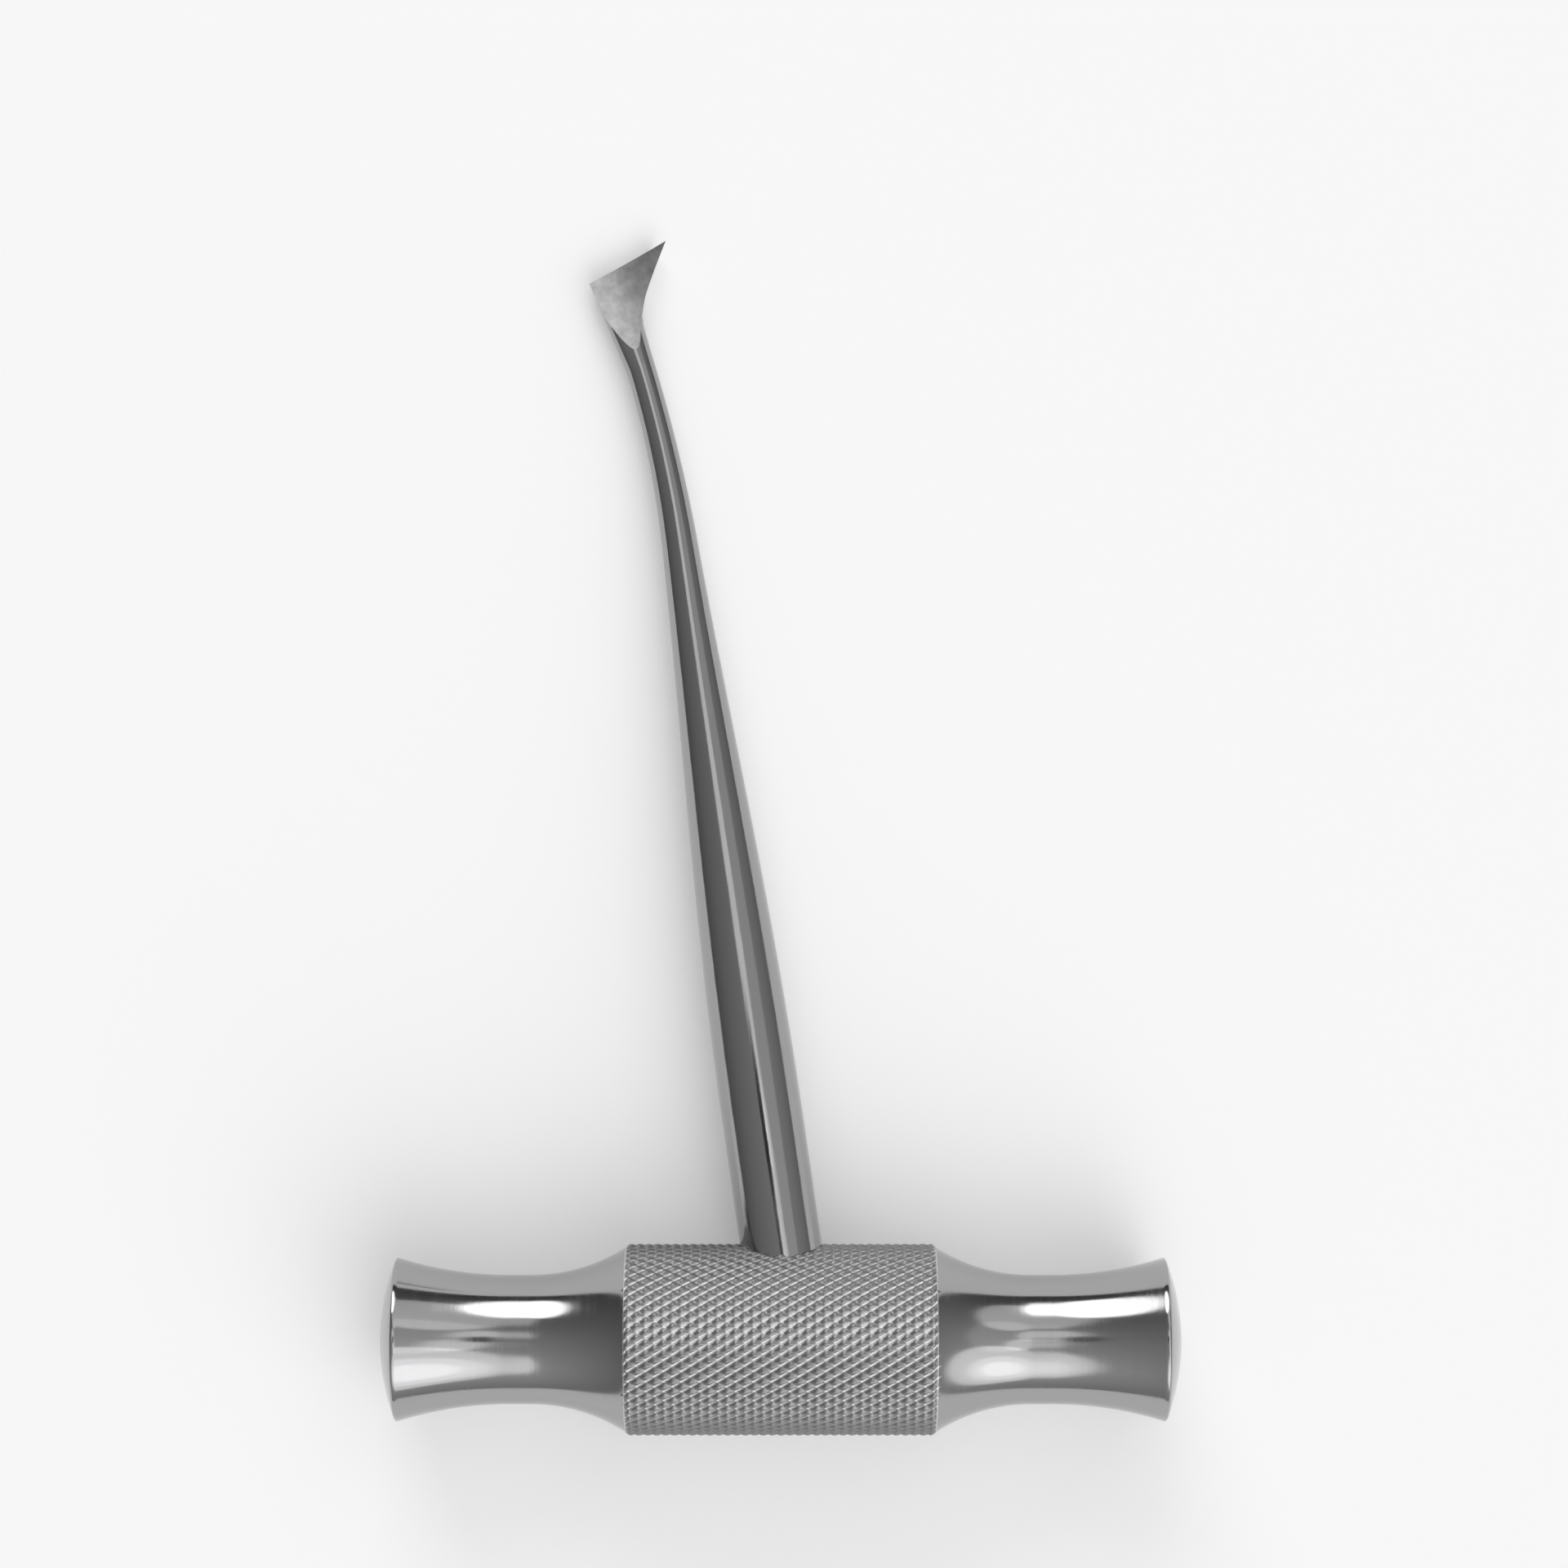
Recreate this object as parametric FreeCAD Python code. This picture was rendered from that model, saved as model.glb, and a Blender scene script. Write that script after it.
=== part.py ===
"""Cross-bar elevator: a knurled, waisted cross bar and a bent, tapering shank with a hollow-ground blade.

Both pieces are drawn in the tool's own frame: the bar's axis is X, the shank stands on the bar towards +Y in the
XY plane, and the ground face of the blade looks to +Z. At the end the whole tool is laid on the ground plane
z = 0, where it rests on the knurled barrel and on the back of the blade. Lengths are millimetres, angles degrees.
"""

import FreeCAD
import Part

import math
import os

Vector = FreeCAD.Vector

# Cross bar
barrel_diameter = 21.0      # over the points of the knurling
barrel_length = 33.2
waist_diameter = 14.2
waist_land = 2.5            # straight length at the narrowest place
rim_diameter = 18.0
rim_span = 85.0             # from rim to rim
rim_flare = 12.5            # length of the curve from the waist out to the rim
rim_chamfer = 0.25
dome_height = 1.6

# Knurling: two families of grooves that leave rows of pointed diamonds
knurl_pitch = 1.05          # between grooves, measured square to them
knurl_angle = 32.4          # of the grooves to the bar's axis
knurl_depth = 0.35
knurl_run_out = 0.5         # length over which the last row of points falls to the bottom of the grooves

# Shank: distances run along its centre line, from the surface of the barrel
shank_diameter = 9.0
shank_lean = 8.25           # to the left of the bar's normal
foot_length = 13.5          # stays full up to here
neck_diameter = 3.32
neck_distance = 98.8        # where the taper ends and the blade begins
bend_start = 78.3
bend_radius = 140.0
seat_depth = 14.0           # of the foot in the barrel
seat_clearance = 0.03       # round the foot, filled by the braze

# Blade: "across" and "along" are measured at the neck, square to the centre line and along it
heel_across = -2.80         # blunt corner at the end of the straight side
heel_along = 10.85
edge_length = 9.83          # of the end, from the heel to the sharp point
edge_angle = 13.0           # of the end, rising towards the point
blade_back_depth = 1.75     # of the back behind the centre line, at the end
blade_roof = 0.72           # height of the ground face over the centre line at the heel and the point
end_squareness = 4.6        # exponent of the end section: 2 is an ellipse, more is squarer
hollow_radius = 30.0        # of the wheel that hollows the face
hollow_pitch = 6.9          # of the wheel's path, down towards the point
flank_angle = 37.2          # of the slanted flank to the neck, seen from the front
flank_length = 5.7          # of its straight part, down from the point
flank_radius = 11.5         # of the curve below it
flank_turn = 15.4           # how far that curve turns before it meets the neck
flank_undercut = 41.0       # of the cut that bevels the flank, seen from the side
flank_lead = 0.6            # below the flank's foot, where the stock's side starts to turn out
wheel_travel = 15.2         # of the wheel, from the end up to the neck
grinding_spare = 0.35       # stock left beside the flank and the point until they are ground
cutter_overrun = 1.0        # of the flank's cutter, in front of the face and behind the back

# Smoothness of the shank and the blade, which are ruled from section to section
edge_spans = 4              # in each quarter of a section
taper_spacing = 7.0
blade_spacing = 1.2

barrel_radius = barrel_diameter / 2
shank_radius = shank_diameter / 2
neck_radius = neck_diameter / 2
front = Vector(0, 0, 1)


def polar(x, radius, angle):
    """Point at a distance from the bar's axis, the angle measured from the front."""
    return Vector(x, radius * math.sin(angle), radius * math.cos(angle))


def triangle(a, b, c):
    """Flat three-cornered face."""
    return Part.Face(Part.makePolygon([a, b, c, a]))


def knurl_counts():
    """Number of diamonds round the barrel, and of half diamonds along it."""
    angle = math.radians(knurl_angle)
    around = round(math.pi * barrel_diameter * math.cos(angle) / knurl_pitch)
    half_diamond = math.pi * barrel_radius / around / math.tan(angle)
    return around, max(2, round(barrel_length / half_diamond))


def knurled_drum():
    """Barrel with its diamonds: each point carries four flat facets down to the crossings of the grooves."""
    around, along = knurl_counts()

    def lattice(i, j):
        """Corner i along and j round the barrel: a point where i + j is even, else a crossing of two grooves."""
        x = barrel_length * (i / along - 0.5)
        angle = math.pi * j / around
        if (i + j) % 2 == 0:
            return polar(x, barrel_radius, angle)
        if i == 0:
            x -= knurl_run_out
        if i == along:
            x += knurl_run_out
        return polar(x, barrel_radius - knurl_depth, angle)

    faces = []
    for i in range(along + 1):
        for j in range(i % 2, 2 * around, 2):
            point = lattice(i, j)
            before, after = lattice(i, j - 1), lattice(i, j + 1)
            left = lattice(i - 1, j) if i > 0 else None
            right = lattice(i + 1, j) if i < along else None
            faces += [triangle(point, left, after), triangle(point, before, left)] if left else []
            faces += [triangle(point, after, right), triangle(point, right, before)] if right else []
            if left is None or right is None:
                faces.append(triangle(point, before, after))
    for i in (0, along):
        ring = [lattice(i, j) for j in range((i + 1) % 2, 2 * around, 2)]
        faces.append(Part.Face(Part.makePolygon(ring + ring[:1])))
    shell = Part.makeShell(faces)
    shell.sewShape()
    return Part.makeSolid(shell)


def arc_through_tangent(start, tangent, end):
    """Arc from start, where it runs along the tangent, to end."""
    chord = end - start
    side = (chord - tangent * chord.dot(tangent)).normalize()
    radius = chord.dot(chord) / (2 * chord.dot(side))
    half_turn = math.asin(chord.Length / (2 * radius))
    middle = start + tangent * radius * math.sin(half_turn) + side * radius * (1 - math.cos(half_turn))
    return Part.Arc(start, middle, end).toShape()


def turned_end(side):
    """One end of the bar, side +1 or -1: waist, flared rim and domed end face, turned about the axis."""
    around = knurl_counts()[0]
    root_radius = (barrel_radius - knurl_depth) * math.cos(math.pi / around)
    waist_radius = waist_diameter / 2
    rim_radius = rim_diameter / 2
    rim_x = rim_span / 2
    waist_out = rim_x - rim_flare
    waist_in = waist_out - waist_land

    def at(x, radius):
        return Vector(side * x, radius, 0)

    shoulder = at(barrel_length / 2 + knurl_run_out, root_radius)
    inner, outer = at(waist_in, waist_radius), at(waist_out, waist_radius)
    rim = at(rim_x - rim_chamfer, rim_radius)
    bevel = at(rim_x, rim_radius - rim_chamfer)
    crown = at(rim_x + dome_height, 0)
    inwards, outwards = Vector(-side, 0, 0), Vector(side, 0, 0)
    axis_point = at(shoulder.x * side, 0)
    edges = [
        Part.makeLine(axis_point, shoulder),
        arc_through_tangent(inner, inwards, shoulder),
        Part.makeLine(inner, outer),
        arc_through_tangent(outer, outwards, rim),
        Part.makeLine(rim, bevel),
        arc_through_tangent(crown, Vector(0, 1, 0), bevel),
        Part.makeLine(crown, axis_point),
    ]
    profile = Part.Face(Part.Wire(Part.__sortEdges__(edges)))
    return profile.revolve(Vector(0, 0, 0), Vector(1, 0, 0), 360)


def centre_line(distance):
    """Point on the shank's centre line and its lean there, in radians."""
    lean = math.radians(shank_lean)
    direction = Vector(-math.sin(lean), math.cos(lean), 0)
    foot = Vector(0, barrel_radius, 0)
    if distance <= bend_start:
        return foot + direction * distance, lean
    bend_centre = foot + direction * bend_start - Vector(math.cos(lean), math.sin(lean), 0) * bend_radius
    lean += (distance - bend_start) / bend_radius
    return bend_centre + Vector(math.cos(lean), math.sin(lean), 0) * bend_radius, lean


def shank_radius_at(distance):
    """Radius of the round shank: full along the foot, then eased down to the neck."""
    run = (distance - foot_length) / (neck_distance - foot_length)
    run = min(max(run, 0.0), 1.0)
    return neck_radius + (shank_radius - neck_radius) * (1 + math.cos(math.pi * run)) / 2


def section(left, right, middle, thickness, squareness, bow):
    """Closed section between two side points: an ellipse that can be made squarer and bowed to the back.
    Its four edges are the back, the right side, the front and the left side."""
    centre = (left + right) * 0.5
    half = (right - left) * 0.5

    def at(angle):
        cosine, sine = math.cos(angle), math.sin(angle)
        reach = (abs(cosine) ** squareness + abs(sine) ** squareness) ** (-1 / squareness)
        across, up = reach * cosine, reach * sine
        return centre + half * across + front * (middle + thickness * up - bow * (1 - across ** 2))

    def tangent(angle, step=0.001):
        return (at(angle + step) - at(angle - step)).normalize()

    edges = []
    knots = [i / edge_spans for i in range(edge_spans + 1)]
    for quarter in range(4):
        start = math.pi / 2 * (quarter - 1.5)
        angles = [start + math.pi / 2 * knot for knot in knots]
        curve = Part.BSplineCurve()
        curve.interpolate(Points=[at(angle) for angle in angles], Parameters=knots,
                          InitialTangent=tangent(angles[0]), FinalTangent=tangent(angles[-1]))
        edges.append(curve.toShape())
    return Part.Wire(edges)


def round_section(distance):
    """Round section of the shank, square to its centre line."""
    point, lean = centre_line(distance)
    radius = shank_radius_at(distance)
    across = Vector(math.cos(lean), math.sin(lean), 0) * radius
    return section(point - across, point + across, 0, radius, 2, 0)


def blade_point(across, along, height=0.0):
    """Point of the blade, measured at the neck."""
    neck, lean = centre_line(neck_distance)
    side = Vector(math.cos(lean), math.sin(lean), 0)
    ahead = Vector(-math.sin(lean), math.cos(lean), 0)
    return neck + side * across + ahead * along + front * height


def blade_vector(across, along, height=0.0):
    """Direction in the blade, measured at the neck."""
    return blade_point(across, along, height) - blade_point(0, 0)


def edge_point(distance):
    """Across and along of a point on the blade's end, from the heel towards the point."""
    angle = math.radians(edge_angle)
    return heel_across + distance * math.cos(angle), heel_along + distance * math.sin(angle)


def flank_outline():
    """Across and along of the corners of the slanted flank: the point, the end of its straight part, the middle
    of the curve below, and the foot of that curve at the neck."""
    tip = edge_point(edge_length)
    angle = math.radians(flank_angle)
    straight = (tip[0] - flank_length * math.sin(angle), tip[1] - flank_length * math.cos(angle))
    centre = (straight[0] + flank_radius * math.cos(angle), straight[1] - flank_radius * math.sin(angle))

    def on_curve(turn):
        at = angle - math.radians(turn)
        return centre[0] - flank_radius * math.cos(at), centre[1] + flank_radius * math.sin(at)

    return tip, straight, on_curve(flank_turn / 2), on_curve(flank_turn)


def blade_sections():
    """Sections that turn the round neck into the flat flared end, each wide enough for the flank to be cut."""
    straight, bend, root = flank_outline()[1:]
    side = Part.BSplineCurve()
    corners = [
        (neck_radius, 0),
        (neck_radius, heel_along / 4),
        (root[0], root[1] - flank_lead),
        (bend[0] + grinding_spare, bend[1]),
        (straight[0] + grinding_spare, straight[1] + grinding_spare),
        edge_point(edge_length + 2 * grinding_spare),
    ]
    side.interpolate(Points=[Vector(*corner, 0) for corner in corners],
                     Parameters=[i / (len(corners) - 1) for i in range(len(corners))])
    wires = []
    count = math.ceil(heel_along / blade_spacing)
    for i in range(1, count + 1):
        run = i / count
        ease = run * run * (3 - 2 * run)
        left = blade_point(-neck_radius + (heel_across + neck_radius) * run, heel_along * run)
        right = side.value(run)
        bow = hollow_bow() * ease
        middle = blade_roof * ease
        thickness = neck_radius + (blade_back_depth + blade_roof - hollow_bow() - neck_radius) * ease
        squareness = 2 + (end_squareness - 2) * ease ** 3
        wires.append(section(left, blade_point(right.x, right.y), middle, thickness, squareness, bow))
    return wires


def hollow_bow():
    """Depth of the hollow across the blade's end."""
    half = edge_length / 2
    return hollow_radius - math.sqrt(hollow_radius ** 2 - half ** 2)


def face_cutter():
    """Path of the grinding wheel that leaves the face hollow: it comes down on the neck and dives to the end."""
    pitch = math.radians(hollow_pitch)
    angle = math.radians(edge_angle)
    path = blade_vector(math.sin(angle) * math.cos(pitch), -math.cos(angle) * math.cos(pitch), math.sin(pitch))
    normal = (front - path * front.dot(path)).normalize()
    across = path.cross(normal)
    overrun = edge_length / 2
    lowest = blade_point(*edge_point(edge_length / 2), blade_roof - hollow_bow()) - path * overrun
    reach = edge_length
    rise = hollow_radius - math.sqrt(hollow_radius ** 2 - reach ** 2)
    lid = rise + shank_diameter
    edges = [
        Part.Arc(lowest - across * reach + normal * rise, lowest, lowest + across * reach + normal * rise).toShape(),
        Part.makeLine(lowest + across * reach + normal * rise, lowest + across * reach + normal * lid),
        Part.makeLine(lowest + across * reach + normal * lid, lowest - across * reach + normal * lid),
        Part.makeLine(lowest - across * reach + normal * lid, lowest - across * reach + normal * rise),
    ]
    return Part.Face(Part.Wire(edges)).extrude(path * (overrun + wheel_travel))


def flank_cutter():
    """Block that grinds the slanted flank, leaning back so that the flank is bevelled under the face."""
    tip, straight, bend, root = flank_outline()
    depth = blade_roof + blade_back_depth
    lift = math.tan(math.radians(flank_undercut))
    top = blade_roof + cutter_overrun

    def above(corner):
        """The corner carried up the slanting wall, to start the cut clear of the stock."""
        return blade_point(corner[0], corner[1] - cutter_overrun * lift, top)

    angle = math.radians(flank_angle)
    fall = depth + 2 * cutter_overrun
    past_tip = (tip[0] + cutter_overrun * math.sin(angle), tip[1] + cutter_overrun * math.cos(angle))
    beside_neck = (root[0], root[1] - fall * lift)
    clear = past_tip[0] + edge_length
    edges = [
        Part.makeLine(above(past_tip), above(straight)),
        Part.Arc(above(straight), above(bend), above(root)).toShape(),
        Part.makeLine(above(root), above(beside_neck)),
        Part.makeLine(above(beside_neck), above((clear, beside_neck[1]))),
        Part.makeLine(above((clear, beside_neck[1])), above((clear, past_tip[1]))),
        Part.makeLine(above((clear, past_tip[1])), above(past_tip)),
    ]
    return Part.Face(Part.Wire(edges)).extrude(blade_vector(0, fall * lift, -fall))


def shank_with_blade():
    """Shank and blade in one: drawn out from the round foot to the flared end, then ground on face and flank."""
    taper = neck_distance - foot_length
    count = math.ceil(taper / taper_spacing)
    wires = [round_section(-seat_depth)]
    wires += [round_section(foot_length + taper * i / count) for i in range(count + 1)]
    stock = Part.makeLoft(wires + blade_sections(), True, True)
    return stock.cut([face_cutter(), flank_cutter()]).Solids[0]


def cross_bar_handle():
    """Knurled barrel with its two turned ends, bored across for the foot of the shank."""
    bar = knurled_drum().multiFuse([turned_end(1), turned_end(-1)])
    floor, lean = centre_line(-seat_depth)
    upwards = Vector(-math.sin(lean), math.cos(lean), 0)
    bore = Part.makeCylinder(shank_radius + seat_clearance, 2 * seat_depth, floor, upwards)
    return bar.cut(bore)


def lay_down(shapes):
    """Turn the tool about the bar until barrel and blade touch the ground together, and centre it over the origin."""
    tip_down = 0.0
    for _ in range(12):
        laid = [shape.rotated(Vector(0, 0, 0), Vector(1, 0, 0), -math.degrees(tip_down)) for shape in shapes]
        bar, shank = [shape.optimalBoundingBox(False, False) for shape in laid]
        tip_down += math.atan2(shank.ZMin - bar.ZMin, shank.YMax)
    box = bar.united(shank)
    centre = box.Center
    return [shape.translated(Vector(-centre.x, -centre.y, -box.ZMin)) for shape in laid]


os.makedirs("parts", exist_ok=True)
handle, shank = lay_down([cross_bar_handle(), shank_with_blade()])
handle.exportStep("parts/cross_bar_handle.step")
shank.exportStep("parts/shank_with_blade.step")
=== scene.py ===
"""Cross-bar root elevator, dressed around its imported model.

The tool lies on a pale floor: a buffed cross bar with a rolled diamond grip, a polished tapering shank and
a hollow-ground blade. Every piece is drawn in the tool's own frame in millimetres (the bar's axis is X, the
shank stands on the bar towards +Y and the ground face looks to +Z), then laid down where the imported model
lies.
"""

from __future__ import annotations

import logging
import math
from dataclasses import dataclass, field
from enum import Enum, IntEnum
from typing import Any

import bmesh
import bpy
from mathutils import Matrix, Vector

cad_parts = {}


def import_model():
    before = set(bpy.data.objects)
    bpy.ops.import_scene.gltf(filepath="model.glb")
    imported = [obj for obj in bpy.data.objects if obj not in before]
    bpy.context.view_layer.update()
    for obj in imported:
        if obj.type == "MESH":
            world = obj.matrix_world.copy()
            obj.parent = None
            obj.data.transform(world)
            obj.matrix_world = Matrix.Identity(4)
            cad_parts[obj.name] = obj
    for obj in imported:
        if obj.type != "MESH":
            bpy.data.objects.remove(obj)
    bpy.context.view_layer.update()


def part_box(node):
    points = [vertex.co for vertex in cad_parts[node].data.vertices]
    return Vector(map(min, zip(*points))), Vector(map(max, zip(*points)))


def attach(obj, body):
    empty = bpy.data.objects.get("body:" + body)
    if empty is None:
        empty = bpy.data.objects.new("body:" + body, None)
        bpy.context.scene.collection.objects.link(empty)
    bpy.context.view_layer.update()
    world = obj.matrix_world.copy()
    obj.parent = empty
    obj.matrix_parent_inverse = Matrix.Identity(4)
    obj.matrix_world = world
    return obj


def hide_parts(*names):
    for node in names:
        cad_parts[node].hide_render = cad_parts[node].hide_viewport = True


MM = 0.001
BODY = "root"
log = logging.getLogger("elevator")

Point = tuple[float, float, float]
Face = tuple[int, ...]


class Node(Enum):
    """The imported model's two solids."""

    BAR = "cross_bar_handle"
    SHANK = "shank_with_blade"


class Slot(Enum):
    """The record's material slots."""

    HANDLE = "handle_steel"
    SHANK = "shank_steel"


class End(IntEnum):
    """The two ends of the bar, by the sign of their place on its axis."""

    LEFT = -1
    RIGHT = 1


def linear(hex_colour: str) -> tuple[float, float, float, float]:
    """Turn an sRGB hex colour into the linear colour that a shader takes.

    Args:
        hex_colour: Six hex digits after a hash, such as "#C0C0C0".

    Returns:
        Red, green, blue and full alpha, in linear light.
    """
    parts = [int(hex_colour[i:i + 2], 16) / 255 for i in (1, 3, 5)]
    red, green, blue = [p / 12.92 if p <= 0.04045 else ((p + 0.055) / 1.055) ** 2.4 for p in parts]
    return red, green, blue, 1.0


def add_node(tree: bpy.types.NodeTree, kind: str, settings: dict[str, Any] | None = None,
             links: dict[str | int, bpy.types.NodeSocket] | None = None) -> bpy.types.Node:
    """Add a node with its settings and the links into it.

    Args:
        tree: The node tree that gets the node.
        kind: The node's type name.
        settings: Values by name; a name that is no attribute of the node is one of its inputs.
        links: Output sockets of other nodes, by the name or number of the input that they feed.

    Returns:
        The new node.
    """
    node = tree.nodes.new(kind)
    for name, value in (settings or {}).items():
        if hasattr(node, name):
            setattr(node, name, value)
        else:
            node.inputs[name].default_value = value
    for name, source in (links or {}).items():
        tree.links.new(source, node.inputs[name])
    return node


def set_ramp(node: bpy.types.Node, stops: list[tuple[float, str]]) -> None:
    """Give a colour ramp its stops.

    Args:
        node: The ramp node.
        stops: Positions from 0 to 1 with their sRGB hex colours, in order.
    """
    elements = node.color_ramp.elements
    while len(elements) < len(stops):
        elements.new(1.0)
    for element, (position, colour) in zip(elements, stops):
        element.position = position
        element.color = linear(colour)


def new_material(name: str) -> tuple[bpy.types.Material, bpy.types.NodeTree, bpy.types.Node]:
    """Make an empty node material with its output.

    Args:
        name: The material's name.

    Returns:
        The material, its node tree and its output node.
    """
    material = bpy.data.materials.new(name)
    material.use_nodes = True
    tree = material.node_tree
    tree.nodes.clear()
    return material, tree, add_node(tree, "ShaderNodeOutputMaterial")


@dataclass(frozen=True)
class BuffedSteel:
    """Martensitic stainless steel, turned on a lathe and buffed while it spins.

    The buff leaves hair-fine lines round the bar, so reflections stay sharp across the bar and get ragged
    ends along it.
    """

    name: str = "stainless steel, turned and buffed"
    colour: str = "#A6A6A7"
    roughness: float = 0.11
    line_spacing: float = 0.22      # of the buffing lines; the real ones are about 0.02 and too fine to show
    line_length: float = 40.0       # millimetres
    line_depth: float = 0.003
    patch_size: float = 3.85        # of the places where the buff dragged, millimetres
    haze: float = 0.09              # roughness added where the buff dragged
    stretch: float = 0.7            # of the highlights, square to the buffing lines
    stretch_turn: float = 0.25      # from round the bar to along it, a share of a full turn

    def material(self) -> bpy.types.Material:
        """Build the node material."""
        material, tree, output = new_material(self.name)
        place = add_node(tree, "ShaderNodeTexCoord")
        fine, long = 1 / (self.line_spacing * MM), 1 / (self.line_length * MM)
        lines = add_node(tree, "ShaderNodeMapping", {"Scale": (fine, long, long)},
                         {"Vector": place.outputs["Object"]})
        grain = add_node(tree, "ShaderNodeTexNoise", {"Scale": 1.0, "Detail": 5.0, "Roughness": 0.62},
                         {"Vector": lines.outputs["Vector"]})
        patches = add_node(tree, "ShaderNodeTexNoise", {"Scale": 1 / (self.patch_size * MM), "Detail": 3.0},
                           {"Vector": place.outputs["Object"]})
        drag = add_node(tree, "ShaderNodeMath", {"operation": "MULTIPLY"},
                        {0: grain.outputs["Fac"], 1: patches.outputs["Fac"]})
        rough = add_node(tree, "ShaderNodeMapRange", {"From Min": 0.15, "From Max": 0.5,
                                                      "To Min": self.roughness,
                                                      "To Max": self.roughness + self.haze},
                         {"Value": drag.outputs["Value"]})
        bump = add_node(tree, "ShaderNodeBump", {"Strength": 1.0, "Distance": self.line_depth * MM},
                        {"Height": grain.outputs["Fac"]})
        round_bar = add_node(tree, "ShaderNodeTangent", {"direction_type": "RADIAL", "axis": "X"})
        steel = add_node(tree, "ShaderNodeBsdfPrincipled",
                         {"Base Color": linear(self.colour), "Metallic": 1.0, "Anisotropic": self.stretch,
                          "Anisotropic Rotation": self.stretch_turn},
                         {"Roughness": rough.outputs["Result"], "Normal": bump.outputs["Normal"],
                          "Tangent": round_bar.outputs["Tangent"]})
        tree.links.new(steel.outputs["BSDF"], output.inputs["Surface"])
        return material


@dataclass(frozen=True)
class RolledSteel:
    """The same stainless steel where the knurling rolls pressed it.

    The bottoms of the grooves are painted paler, a painted highlight for the bright lines that the grooves
    mirror round the barrel, while the points that rise between them keep a darker tone and a grainy skin.
    """

    axis_height: float              # of the bar over the floor, metres
    axis_place: float               # of the bar along the floor, metres
    root_radius: float              # metres
    crest_radius: float             # metres
    name: str = "stainless steel, knurled"
    dull: str = "#949495"
    # painted highlight: a paler colour for the groove bottoms, standing in for the light that they mirror
    painted_groove_highlight: str = "#DADADB"
    roughness: float = 0.42
    painted_highlight_below: float = 0.1      # share of the grooves' depth, from the bottom, that gets the full painted highlight
    dull_above: float = 0.35
    grain: float = 0.12             # width of the pressed grain, millimetres
    grain_depth: float = 0.012

    def material(self) -> bpy.types.Material:
        """Build the node material, its colour by the distance from the bar's axis, with a painted highlight
        in the grooves.
        """
        material, tree, output = new_material(self.name)
        place = add_node(tree, "ShaderNodeTexCoord")
        from_axis = add_node(tree, "ShaderNodeVectorMath",
                             {"operation": "SUBTRACT"}, {0: place.outputs["Object"]})
        from_axis.inputs[1].default_value = (0.0, self.axis_place, self.axis_height)
        across = add_node(tree, "ShaderNodeVectorMath", {"operation": "MULTIPLY"},
                          {0: from_axis.outputs["Vector"]})
        across.inputs[1].default_value = (0.0, 1.0, 1.0)
        radius = add_node(tree, "ShaderNodeVectorMath", {"operation": "LENGTH"},
                          {0: across.outputs["Vector"]})
        height = add_node(tree, "ShaderNodeMapRange",
                          {"From Min": self.root_radius, "From Max": self.crest_radius},
                          {"Value": radius.outputs["Value"]})
        tone = add_node(tree, "ShaderNodeValToRGB", {}, {"Fac": height.outputs["Result"]})
        # painted highlight: the groove bottoms get the paler colour, the points the darker one
        set_ramp(tone, [(self.painted_highlight_below, self.painted_groove_highlight), (self.dull_above, self.dull)])
        grain = add_node(tree, "ShaderNodeTexNoise", {"Scale": 1 / (self.grain * MM), "Detail": 3.0},
                         {"Vector": place.outputs["Object"]})
        bump = add_node(tree, "ShaderNodeBump", {"Strength": 1.0, "Distance": self.grain_depth * MM},
                        {"Height": grain.outputs["Fac"]})
        steel = add_node(tree, "ShaderNodeBsdfPrincipled", {"Metallic": 1.0, "Roughness": self.roughness},
                         {"Base Color": tone.outputs["Color"], "Normal": bump.outputs["Normal"]})
        tree.links.new(steel.outputs["BSDF"], output.inputs["Surface"])
        return material


@dataclass(frozen=True)
class PolishedSteel:
    """Martensitic stainless steel, forged and polished along its length.

    The mop leaves faint long waves, so the straight bands of reflection wander a little.
    """

    name: str = "stainless steel, polished lengthwise"
    colour: str = "#A2A2A3"
    roughness: float = 0.09
    wave: float = 0.9               # width of the mop's waves, millimetres
    wave_length: float = 22.2
    wave_depth: float = 0.006
    haze: float = 0.06              # roughness added in the hollows of the waves

    def material(self) -> bpy.types.Material:
        """Build the node material."""
        material, tree, output = new_material(self.name)
        place = add_node(tree, "ShaderNodeTexCoord")
        fine, long = 1 / (self.wave * MM), 1 / (self.wave_length * MM)
        drawn = add_node(tree, "ShaderNodeMapping", {"Scale": (fine, long, fine)},
                         {"Vector": place.outputs["Object"]})
        waves = add_node(tree, "ShaderNodeTexNoise", {"Scale": 1.0, "Detail": 4.0, "Roughness": 0.55},
                         {"Vector": drawn.outputs["Vector"]})
        bump = add_node(tree, "ShaderNodeBump", {"Strength": 1.0, "Distance": self.wave_depth * MM},
                        {"Height": waves.outputs["Fac"]})
        rough = add_node(tree, "ShaderNodeMapRange", {"From Min": 0.35, "From Max": 0.7,
                                                      "To Min": self.roughness,
                                                      "To Max": self.roughness + self.haze},
                         {"Value": waves.outputs["Fac"]})
        steel = add_node(tree, "ShaderNodeBsdfPrincipled",
                         {"Base Color": linear(self.colour), "Metallic": 1.0},
                         {"Roughness": rough.outputs["Result"], "Normal": bump.outputs["Normal"]})
        tree.links.new(steel.outputs["BSDF"], output.inputs["Surface"])
        return material


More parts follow.
